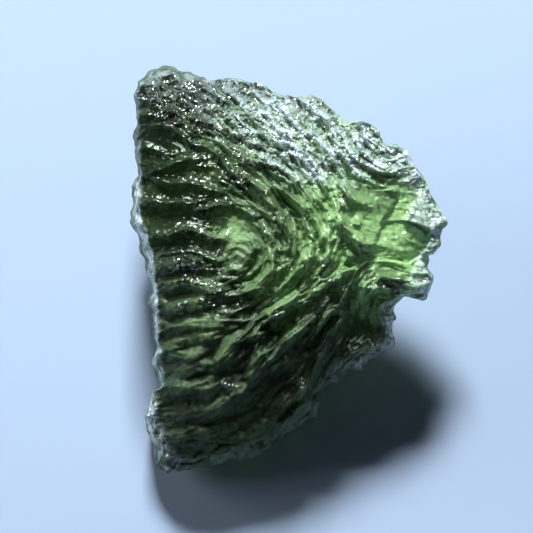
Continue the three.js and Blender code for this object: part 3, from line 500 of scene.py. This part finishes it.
# bowls with sharp edges: the squared distance to the nearest of scattered centres, shortened along the flow
# there, as a multiple of its mean up to the cap; centres are looked for three cells to each side
def bowls(points, size, stretch, seed):
    random = np.random.default_rng(seed)
    order, scatter = random.permutation(256), random.uniform(0, 1, (256, 2))
    place = points / size
    cell = np.floor(place).astype(int)
    nearest = np.full(len(points), 9.0)  # as far as the cells that are looked through
    for a in range(-3, 4):
        for b in range(-3, 4):
            i, j = cell[:, 0] + a, cell[:, 1] + b
            centre = np.stack([i, j], 1) + scatter[order[(order[i & 255] + j) & 255]]
            gap = place - centre
            along = (gap * flowAt(centre * size, None)).sum(1)
            nearest = np.minimum(nearest, (gap * gap).sum(1) - (1 - stretch ** -2) * along ** 2)
    return np.minimum(nearest / nearest.mean(), stone["bowlCap"])


# how far points lie inside a loop of corners, as a share that goes from 0 to 1 over its soft edge
def insideLoop(points, corners, soft):
    loop = np.array(list(corners) + [corners[0]], float)
    gap, _, _ = nearPath(points, loop)
    inside = np.zeros(len(points), bool)
    for (s, t), (nextS, nextT) in zip(loop[:-1], loop[1:]):
        crosses = (t > points[:, 1]) != (nextT > points[:, 1])
        inside ^= crosses & (points[:, 0] < s + (points[:, 1] - t) * (nextS - s) / (nextT - t + 1e-9))
    return smoothStep(np.where(inside, gap, -gap), -soft, soft)


# a dome inside a loop: rim + (peak - rim) * (1 - out^fullness), where out is the share of the way from the
# centre to the loop, and the rim's height and the loop's radius are evened out along it
def domeInside(loop, centre, peak, fullness, points):
    offset = loop[:, :2] - centre
    angle = np.arctan2(offset[:, 1], offset[:, 0])
    order = angle.argsort()
    evening = stone["lobeEvening"]
    kernel = np.ones(2 * evening + 1) / (2 * evening + 1)

    def evened(x):
        return np.convolve(np.concatenate([x[-evening:], x, x[:evening]]), kernel, "valid")

    angles, heights = angle[order], evened(loop[order, 2])
    radii = evened(np.linalg.norm(offset, axis=1)[order])
    away = points - centre
    at = np.arctan2(away[:, 1], away[:, 0])
    rim = np.interp(at, angles, heights, period=2 * np.pi)
    out = np.minimum(1, np.linalg.norm(away, axis=1) / np.interp(at, angles, radii, period=2 * np.pi))
    return out, rim + (peak - rim) * (1 - out ** fullness)


# a ring down the side: share 0 is the face's rim, share 1 the widest ring; it is drawn in from the outline
# by ledge * (1 - share)^bevel, with sine flutes that are deepest halfway down
def sideRing(outline, share):
    offset = outline - stone["crownAt"]
    angle = np.arctan2(offset[:, 1], offset[:, 0])
    stations = np.array(stone["edge"], float)
    degrees = np.degrees(angle) % 360
    k = np.searchsorted(stations[:, 0], degrees, side="right") - 1
    first, second = stations[k], stations[(k + 1) % len(stations)]
    span = (second[:, 0] - first[:, 0]) % 360
    ease = smoothStep((degrees - first[:, 0]) / span, 0, 1)[:, None]
    _, height, depth, ledge = (first + ease * (second - first)).T
    flutes = stone["flutes"]
    flute = flutes["deep"] * np.sin(360 / flutes["degrees"] * angle) * np.sin(np.pi * share)
    out = (flute - ledge * (1 - share) ** stone["bevel"])[:, None]
    place = outline + out * np.stack([np.cos(angle), np.sin(angle)], 1)
    return np.column_stack([place, height - depth * share])


# round patches of a table added up, each share * exp(-(distance / radius)^2)
def patches(points, table):
    return sum(share * np.exp(-((points[:, 0] - s) ** 2 + (points[:, 1] - t) ** 2) / radius ** 2)
               for s, t, radius, share in table)


# a base with the patches of a table added, kept between 0 and 1
def shareAt(points, base, table):
    return np.clip(base + patches(points, table), 0, 1)


# depth of a round dent: depth * exp(-(distance / radius)^2)
def dent(points, place, radius, depth):
    return depth * np.exp(-(np.linalg.norm(points - place, axis=1) / radius) ** 2)


# 1 above the frost line of the face, 0 below it
def frostLineAt(points):
    line = np.array(stone["frostLine"], float)
    over = points[:, 1] - np.interp(points[:, 0], line[:, 0], line[:, 1])
    return smoothStep(over, *stone["frostLineSoft"])


# frost of the upper band: most at the edges of its bowls, less to the left and at the top of the middle
def upperFrostAt(points, edges):
    band = stone["upperFrost"]
    s, t = points.T
    frost = frostLineAt(points) * (band["least"] + (1 - band["least"]) * edges)
    frost *= band["left"] + (1 - band["left"]) * smoothStep(s, *band["toRight"])
    top = smoothStep(t - band["topSlope"] * np.abs(s - band["topAt"]), *band["top"])
    return frost * (1 - band["topLoss"] * top)


# how frosted the edge is in the direction of each point: it fades inwards and is broken up by noise
def frostAt(points, out):
    angle, share, width = np.array(stone["frostEdge"], float).T
    away = points - stone["crownAt"]
    at = np.degrees(np.arctan2(away[:, 1], away[:, 0])) % 360
    breaks = stone["frostBreaks"]
    noise = gradientNoise(*(points / breaks["wave"]).T, stone["seeds"]["frostBreaks"])
    broken = breaks["least"] + (1 - breaks["least"]) * smoothStep(noise, *breaks["range"])
    edge = smoothStep(out, 1 - np.interp(at, angle, width, period=360), 1)
    return np.interp(at, angle, share, period=360) * edge * broken


# how much the face glitters: above the frost line, in patches and on the tops of the upper crests
def glitterAt(points, crest):
    tops = stone["crestGlitter"]
    onTops = tops["share"] * smoothStep(crest, *tops["heights"]) * smoothStep(points[:, 1], *tops["above"])
    return np.clip(frostLineAt(points) + patches(points, stone["glitter"]) + onTops, 0, 1)


# fine relief of the face: bowls, creases cut by exp(-|streaks| / width) and crinkles, less of them in the
# calm places; with it how near a bowl's edge and how deep in a crease each point is, for the painted crease
# shade
def fineRelief(points, glitter):
    seeds = stone["seeds"]
    calm = np.clip(1 - patches(points, stone["calm"]), stone["leastRelief"], 1)
    height, edges, creaseShadeMask = (np.zeros(len(points)) for _ in range(3))
    for k, (size, stretch, rise, glitterRise) in enumerate(stone["bowls"]):
        bowl = bowls(points, size, stretch, seeds["bowls"] + k)
        height += (rise + (glitterRise - rise) * glitter) * calm * (bowl - 1) / 2
        edges += bowl / 2
    for k, (wave, length, width, depth, glitterDepth) in enumerate(stone["creases"]):
        cut = np.exp(-np.abs(streaks(points, wave, length, seeds["creases"] + k)) / width)
        height -= (depth + (glitterDepth - depth) * glitter) * calm * cut
        creaseShadeMask = np.maximum(creaseShadeMask, calm * cut)
    for k, (wave, rise) in enumerate(stone["crinkle"]):
        share = stone["crinkleShare"] * calm + glitter
        height += rise * share * ridgedNoise(points, wave, seeds["crinkle"] + k)
    return height, smoothStep(edges, *stone["bowlEdges"]), creaseShadeMask


# jags of the edge: points pushed about in the plane of the face by noise
def frilled(points, weight):
    moved = points.copy()
    for k, (wave, push) in enumerate(stone["frill"]):
        for axis in (0, 1):
            noise = gradientNoise(*(points[:, :2] / wave).T, stone["seeds"]["frill"] + 2 * k + axis)
            moved[:, axis] += push * weight * noise
    return moved


# layers of the side: noise of the way along the edge and of the height pushes a ring in and out
def layered(ring, share):
    offset = ring[:, :2] - stone["crownAt"]
    way = offset / np.linalg.norm(offset, axis=1, keepdims=True)
    along = np.concatenate([[0], np.cumsum(np.linalg.norm(np.diff(ring[:, :2], axis=0), axis=1))])
    push = np.zeros(len(ring))
    seed = stone["seeds"]["sideLayers"]
    for k, ((waveAlong, waveDown), rise) in enumerate(stone["sideLayers"]):
        push += rise * gradientNoise(along / waveAlong, ring[:, 2] / waveDown, seed + k)
    ring[:, :2] += (push * math.sin(math.pi * share))[:, None] * way
    return ring


# the outline cut into as many steps as the face's coarse border has, and the same made finer run by run
def outlineLoops():
    across, up = stone["cells"]
    runs = stone["outline"]
    curves = [smoothCurve(run + runs[(n + 1) % 4][:1], stone["outlineSteps"]) for n, run in enumerate(runs)]
    coarse = np.concatenate([evenSteps(curve, across if n % 2 else up) for n, curve in enumerate(curves)])
    ends = np.concatenate([[0], np.cumsum([up, across, up, across])])
    closed = np.concatenate([coarse, coarse[:1]])
    fine = [smoothCurve(closed[a:b + 1], stone["finer"])[:-1] for a, b in zip(ends[:-1], ends[1:])]
    return coarse, np.concatenate(fine)


# the face: swell, crests, fine relief, hollows and panes added up over its grid, and how each point looks
def shapeFace(coarse, fine):
    grid = fineGrid(sideRing(coarse, 0)[:, :2], stone["finer"])
    points = grid.reshape(-1, 2)
    rim = sideRing(fine, 0)
    out, swell = domeInside(rim, stone["crownAt"], stone["crownHeight"], stone["crownFullness"], points)
    crest = crestRelief(points)
    glitter = glitterAt(points, crest)
    relief, edges, creaseShadeMask = fineRelief(points, glitter)
    height = swell + crest + relief
    for hollow in stone["hollows"]:
        height -= dent(points, *hollow)
    tops = stone["crestHighlight"]
    clear = stone["clearBase"] + patches(points, stone["clear"])
    # painted highlight along the crest tops and painted shade along the creases, in the glass tone
    clear += tops["share"] * smoothStep(crest, *tops["heights"]) - stone["creaseShade"] * creaseShadeMask
    frost = np.maximum(frostAt(points, out), upperFrostAt(points, edges))
    paneFrost = np.zeros(len(points))
    for clearer, rise, frosted, corners in stone["panes"]:
        share = insideLoop(points, corners, stone["paneSoft"])
        height += rise * share
        clear += clearer * share
        paneFrost += frosted * share
    frost = np.maximum(frost, paneFrost)
    frill = smoothStep(out, stone["frillFrom"]["face"], 1)
    print("face shaped")
    return {
        "shape": grid.shape[:2],
        "points": frilled(np.column_stack([points, height]), frill),
        "frost": frost,
        "glitter": np.maximum(glitter, stone["frostGlitter"] * frost),
        "clear": np.clip(clear, 0, 1),
        "cloudy": shareAt(points, stone["cloudyBase"], stone["cloudy"]),
        "matte": shareAt(points, stone["matteBase"], stone["matte"]),
        "etched": np.zeros(len(points)),
    }


# the side: rings between the rim and the widest ring, frosted at the rim and less and less below it
def shapeSide(fine):
    even = np.ones(len(fine))
    fade = stone["sideFrost"]
    rimHeight = sideRing(fine, 0)[:, 2]
    # frost of the edge and the paler places, which also paint light falling on the side
    edgeFrostAndPaintedLight = frostAt(fine, even) + patches(fine, stone["paleSides"])
    rings = []
    for row in range(1, stone["sideRows"]):
        share = row / stone["sideRows"]
        ring = frilled(layered(sideRing(fine, share), share), 1)
        below = np.exp(-((rimHeight - ring[:, 2]) / fade["depth"]) ** 2)
        frost = edgeFrostAndPaintedLight * (fade["least"] + (1 - fade["least"]) * below)
        rings.append({
            "points": ring,
            "frost": frost,
            "glitter": stone["frostGlitter"] * frost,
            "clear": shareAt(fine, stone["clearBase"], stone["clear"]),
            "cloudy": stone["cloudyBase"] * even,
            "matte": stone["sideMatte"] * even,
            "etched": even,
        })
    print("side shaped")
    return rings


# the underside, in cells twice as big: a keel with waves, a wide hollow, grain and pits that fade outwards
def shapeUnderside(fine):
    finer, seeds, looks = stone["finer"], stone["seeds"], stone["underside"]
    ring = sideRing(fine, 1)
    grid = fineGrid(ring[::finer, :2], finer // 2)
    points = grid.reshape(-1, 2)
    out, hull = domeInside(ring, stone["keelAt"], -stone["keelDepth"], stone["keelFullness"], points)
    waves = stone["waves"]
    waveS, waveT = 2 * np.pi * points[:, 0] / waves["s"], 2 * np.pi * points[:, 1] / waves["t"]
    lumps = waves["deep"] * np.sin(waveS + np.sin(waveT)) * np.sin(waveT + waves["waver"] * np.sin(waveS))
    lumps += dent(points, *stone["scoop"])
    for k, (wave, rise) in enumerate(stone["backGrain"]):
        lumps += rise * ridgedNoise(points, wave, seeds["backGrain"] + k)
    for k, (size, stretch, depth) in enumerate(stone["backBowls"]):
        lumps -= depth * (bowls(points, size, stretch, seeds["backBowls"] + k) - 1) / 2
    height = hull + lumps * (1 - out ** waves["fade"])
    frill = smoothStep(out, stone["frillFrom"]["underside"], 1)
    even = np.ones(len(points))
    print("underside shaped")
    return {
        "shape": grid.shape[:2],
        "points": frilled(np.column_stack([points, height]), frill),
        "frost": looks["frost"] * frostAt(points, out),
        "glitter": looks["glitter"] * even,
        "clear": np.clip(stone["clearBase"] + looks["clear"] * patches(points, stone["clear"]), 0, 1),
        "cloudy": looks["cloudy"] * even,
        "matte": looks["matte"] * even,
        "etched": even,
    }


# quads of a grid of point numbers
def gridQuads(ids):
    return np.stack([ids[:-1, :-1], ids[1:, :-1], ids[1:, 1:], ids[:-1, 1:]], 2).reshape(-1, 4)


# quads of the face, the underside and the side's rows, and triangles where two edges of the last ring meet
# one of the underside; points are numbered in the order face, rings, underside
def joinSheets(faceShape, ringCount, backShape):
    faceIds = np.arange(math.prod(faceShape)).reshape(faceShape)
    border = faceIds[borderPlaces(faceShape[0] - 1, faceShape[1] - 1)]
    ringIds = faceIds.size + np.arange(ringCount * len(border)).reshape(ringCount, -1)
    backIds = faceIds.size + ringIds.size + np.arange(math.prod(backShape)).reshape(backShape)
    rows = [border, *ringIds]
    quads = [gridQuads(faceIds), gridQuads(backIds)[:, ::-1]]
    for upper, lower in zip(rows[:-1], rows[1:]):
        quads.append(np.stack([upper, lower, np.roll(lower, -1), np.roll(upper, -1)], 1))
    corner = backIds[borderPlaces(backShape[0] - 1, backShape[1] - 1)]
    nextCorner = np.roll(corner, -1)
    first, middle, last = rows[-1][::2], rows[-1][1::2], np.roll(rows[-1][::2], -1)
    triangles = [np.stack(x, 1) for x in (
        (first, corner, middle), (middle, corner, nextCorner), (middle, nextCorner, last))]
    return np.concatenate(quads), np.concatenate(triangles)


# places of the leaning face in millimetres over the floor
def leaned(s, t, h):
    lean = math.radians(stone["leanDegrees"])
    y = t * math.cos(lean) - h * math.sin(lean)
    z = t * math.sin(lean) + h * math.cos(lean) + stone["restHeight"]
    return s, y, z


# the stone as one mesh in metres, centred on the frame's box, with its looks kept on its points
def buildStone():
    coarse, fine = outlineLoops()
    face = shapeFace(coarse, fine)
    rings = shapeSide(fine)
    underside = shapeUnderside(fine)
    sheets = [face, *rings, underside]
    quads, triangles = joinSheets(face["shape"], len(rings), underside["shape"])
    x, y, z = leaned(*np.concatenate([sheet["points"] for sheet in sheets]).T)
    world = np.stack([x, y, np.maximum(0, z)], 1) / 1000
    cadMiddle = (np.array(cadLow) + np.array(cadHigh)) / 2
    shift = cadMiddle - (world.min(0) + world.max(0)) / 2
    shift[2] = 0
    mesh = bpy.data.meshes.new("stone")
    mesh.from_pydata((world + shift).tolist(), [], quads.tolist() + triangles.tolist())
    mesh.validate()
    looks = {name: np.concatenate([sheet[name] for sheet in sheets])
             for name in ("frost", "glitter", "clear", "cloudy", "matte", "etched")}
    smooth = [looks["glitter"][faces].mean(1) < stone["facetedFrom"] for faces in (quads, triangles)]
    mesh.polygons.foreach_set("use_smooth", np.concatenate(smooth))
    looks["clarity"] = 1 - np.clip(looks.pop("cloudy") + stone["frostedSolid"] * looks["frost"], 0, 1)
    for name, values in looks.items():
        attribute = mesh.attributes.new(name, "FLOAT", "POINT")
        attribute.data.foreach_set("value", values.astype(np.float32))
    mesh.update()
    obj = bpy.data.objects.new("stone", mesh)
    bpy.context.scene.collection.objects.link(obj)
    print("stone built:", len(world), "points,", 2 * len(quads) + len(triangles), "triangles")
    return obj, shift


# a socket takes a value, or a link from another socket
def setSocket(tree, socket, value):
    if isinstance(value, bpy.types.NodeSocket):
        tree.links.new(value, socket)
    else:
        socket.default_value = value


# a node with its own settings by name and its sockets by name or number
def addNode(tree, kind, sockets, **settings):
    node = tree.nodes.new(kind)
    for name, value in settings.items():
        setattr(node, name, value)
    for key, value in sockets.items():
        setSocket(tree, node.inputs[key], value)
    return node


# a look of the points, 0 to 1, brought to the range that the dictionary gives
def ranged(tree, look, name):
    low, high = stone[name]
    node = addNode(tree, "ShaderNodeMapRange", {"Value": look, "To Min": low, "To Max": high})
    return node.outputs["Result"]


# colour: dark to clear glass with slow clouds in it, where the dark tint also paints shade and the clear
# tint paints light shining through; paler, bluish white where it is frosted, partly painted sheen; on the
# side and the underside the frost is broken into chips
def glassColour(tree, place, looks):
    slow, quick = stone["clouds"], stone["chips"]
    clouds = addNode(tree, "ShaderNodeTexNoise",
                     {"Vector": place, "Scale": slow["scale"], "Detail": slow["detail"]})
    cloudy = addNode(tree, "ShaderNodeMath",
                     {0: clouds.outputs["Fac"], 1: slow["share"], 2: looks["clear"]},
                     operation="MULTIPLY_ADD")
    shifted = addNode(tree, "ShaderNodeMath", {0: cloudy.outputs[0], 1: -slow["share"] / 2},
                      operation="ADD", use_clamp=True)
    tint = addNode(tree, "ShaderNodeMix", {"Factor": shifted.outputs[0], "A": (*stone["darkAndShadedTint"], 1),
                                           "B": (*stone["clearAndLitTint"], 1)}, data_type="RGBA")
    chips = addNode(tree, "ShaderNodeTexNoise",
                    {"Vector": place, "Scale": quick["scale"], "Detail": quick["detail"]})
    chipped = addNode(tree, "ShaderNodeMapRange", {"Value": chips.outputs["Fac"], **quick["range"]})
    broken = addNode(tree, "ShaderNodeMix", {"Factor": looks["etched"], "A": 1,
                                             "B": chipped.outputs["Result"]}, data_type="FLOAT")
    frosted = addNode(tree, "ShaderNodeMath", {0: looks["frost"], 1: broken.outputs["Result"]},
                      operation="MULTIPLY")
    # frosted places turn pale bluish white: real frost, with painted sheen in its colour
    pale = addNode(tree, "ShaderNodeMix", {"Factor": frosted.outputs[0], "A": tint.outputs["Result"],
                                           "B": (*stone["frostAndSheenColour"], 1)}, data_type="RGBA")
    return pale.outputs["Result"]


# bump: scallops on the side and the underside, small tilted facets, steeper where it glitters, and a fine
# grain all over that the coat doesn't have
def glassBump(tree, place, looks):
    hollow = addNode(tree, "ShaderNodeTexVoronoi", {"Vector": place, "Scale": stone["scallops"]["scale"]})
    squared = addNode(tree, "ShaderNodeMath", {0: hollow.outputs["Distance"], 1: 2}, operation="POWER")
    placed = addNode(tree, "ShaderNodeMath", {0: squared.outputs[0], 1: looks["etched"]},
                     operation="MULTIPLY")
    scallops = addNode(tree, "ShaderNodeBump", {"Strength": 1, "Distance": stone["scallops"]["distance"],
                                                "Height": placed.outputs[0]})
    # the height of a facet is its place in the cell times a slope taken from the cell's random colour
    cells = addNode(tree, "ShaderNodeTexVoronoi", {"Vector": place, "Scale": stone["facets"]["scale"]})
    inside = addNode(tree, "ShaderNodeVectorMath", {0: place, 1: cells.outputs["Position"]},
                     operation="SUBTRACT")
    tilt = addNode(tree, "ShaderNodeVectorMath", {0: cells.outputs["Color"], 1: (0.5, 0.5, 0.5)},
                   operation="SUBTRACT")
    facet = addNode(tree, "ShaderNodeVectorMath", {0: inside.outputs["Vector"], 1: tilt.outputs["Vector"]},
                    operation="DOT_PRODUCT")
    steepness = ranged(tree, looks["glitter"], "etch")
    sloped = addNode(tree, "ShaderNodeMath", {0: facet.outputs["Value"], 1: steepness},
                     operation="MULTIPLY")
    facets = addNode(tree, "ShaderNodeBump", {"Strength": 1, "Distance": stone["facets"]["slope"],
                                              "Height": sloped.outputs[0],
                                              "Normal": scallops.outputs["Normal"]})
    rough = stone["grain"]
    grain = addNode(tree, "ShaderNodeTexNoise",
                    {"Vector": place, "Scale": rough["scale"], "Detail": rough["detail"]},
                    noise_type="RIDGED_MULTIFRACTAL")
    fine = addNode(tree, "ShaderNodeBump", {"Strength": 1, "Distance": rough["distance"],
                                            "Height": grain.outputs["Fac"],
                                            "Normal": facets.outputs["Normal"]})
    return fine.outputs["Normal"], facets.outputs["Normal"]


def glassMaterial():
    material = bpy.data.materials.new("greenGlass")
    material.use_nodes = True
    tree = material.node_tree
    place = addNode(tree, "ShaderNodeTexCoord", {}).outputs["Object"]
    looks = {name: addNode(tree, "ShaderNodeAttribute", {}, attribute_name=name).outputs["Fac"]
             for name in ("frost", "glitter", "clear", "matte", "clarity", "etched")}
    normal, coatNormal = glassBump(tree, place, looks)
    scatter, absorption = stone["scatter"], stone["absorption"]
    sockets = {
        "Base Color": glassColour(tree, place, looks),
        "Roughness": ranged(tree, looks["matte"], "roughness"),
        "IOR": stone["ior"],
        "Normal": normal,
        "Subsurface Weight": scatter["weight"],
        "Subsurface Radius": scatter["radius"],
        "Subsurface Scale": scatter["scale"],
        "Specular IOR Level": stone["specular"],
        "Specular Tint": (*stone["specularTint"], 1),
        "Transmission Weight": looks["clarity"],
        "Coat Weight": ranged(tree, looks["glitter"], "coat"),
        "Coat Roughness": stone["coatRoughness"],
        "Coat IOR": stone["coatIor"],
        "Coat Normal": coatNormal,
    }
    for name, value in sockets.items():
        setSocket(tree, tree.nodes["Principled BSDF"].inputs[name], value)
    depth = addNode(tree, "ShaderNodeVolumeAbsorption",
                    {"Color": (*absorption["colour"], 1), "Density": absorption["density"]})
    setSocket(tree, tree.nodes["Material Output"].inputs["Volume"], depth.outputs["Volume"])
    print("glass made")
    return material


stoneObject, stoneShift = buildStone()
stoneObject.data.materials.append(glassMaterial())
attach(stoneObject, "root")
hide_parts("moldavite")

floor = {"half": 0.6, "colour": (0.45, 0.565, 0.75), "roughness": 0.7, "specular": 0}


def buildFloor():
    corners = [(x * floor["half"], y * floor["half"], 0) for x, y in ((-1, -1), (1, -1), (1, 1), (-1, 1))]
    mesh = bpy.data.meshes.new("floor")
    mesh.from_pydata(corners, [], [(0, 1, 2, 3)])
    obj = bpy.data.objects.new("floor", mesh)
    bpy.context.scene.collection.objects.link(obj)
    material = bpy.data.materials.new("paleFloor")
    material.use_nodes = True
    shader = material.node_tree.nodes["Principled BSDF"]
    shader.inputs["Base Color"].default_value = (*floor["colour"], 1)
    shader.inputs["Roughness"].default_value = floor["roughness"]
    shader.inputs["Specular IOR Level"].default_value = floor["specular"]
    mesh.materials.append(material)
    print("floor built")


buildFloor()

# lights: where they stand in metres, size, power, and whether they are seen in gloss and in all but gloss
lights = {
    "areas": {
        "key": {"at": (-0.03, 0.34, 0.3), "size": (0.11, 0.07), "power": 3.7, "gloss": True, "rest": True},
        "glint": {"at": (0.05, 0.24, 0.4), "size": (0.2, 0.12), "power": 3.0, "gloss": True, "rest": False},
        "fill": {"at": (-0.34, 0.06, 0.12), "size": (0.2, 0.1), "power": 0.5, "gloss": False, "rest": True},
    },
    "colour": (0.93, 0.97, 1.0),
    "world": {"colour": (0.50, 0.56, 0.62), "strength": 0.06},
    "look": ("Standard", "None"),
}


def buildLights():
    for name, values in lights["areas"].items():
        data = bpy.data.lights.new(name, "AREA")
        data.shape = "RECTANGLE"
        data.size, data.size_y = values["size"]
        data.energy, data.color = values["power"], lights["colour"]
        obj = bpy.data.objects.new(name, data)
        obj.location = values["at"]
        obj.rotation_euler = (-Vector(values["at"])).to_track_quat("-Z", "Y").to_euler()
        obj.visible_glossy = values["gloss"]
        obj.visible_diffuse = obj.visible_transmission = values["rest"]
        bpy.context.scene.collection.objects.link(obj)
    world = bpy.data.worlds.new("studio")
    world.use_nodes = True
    background = world.node_tree.nodes["Background"]
    background.inputs["Color"].default_value = (*lights["world"]["colour"], 1)
    background.inputs["Strength"].default_value = lights["world"]["strength"]
    bpy.context.scene.world = world
    view = bpy.context.scene.view_settings
    view.view_transform, view.look = lights["look"]
    print("lights placed")


buildLights()

# camera: square on to the leaning face, its picture centred on a face point in millimetres
camera = {"elevation": 70, "lens": 300, "frame": 0.041, "centre": (-1.42, 0.27, -1.0), "clip": (0.005, 10)}


def buildCamera():
    data = bpy.data.cameras.new("camera")
    data.lens = camera["lens"]
    data.clip_start, data.clip_end = camera["clip"]
    obj = bpy.data.objects.new("camera", data)
    target = Vector(leaned(*camera["centre"])) / 1000 + Vector(stoneShift)
    up = math.radians(camera["elevation"])
    back = Vector((0, -math.cos(up), math.sin(up)))
    obj.location = target + back * camera["frame"] * camera["lens"] / data.sensor_width
    obj.rotation_euler = (-back).to_track_quat("-Z", "Y").to_euler()
    bpy.context.scene.collection.objects.link(obj)
    bpy.context.scene.camera = obj
    print("camera placed")


buildCamera()
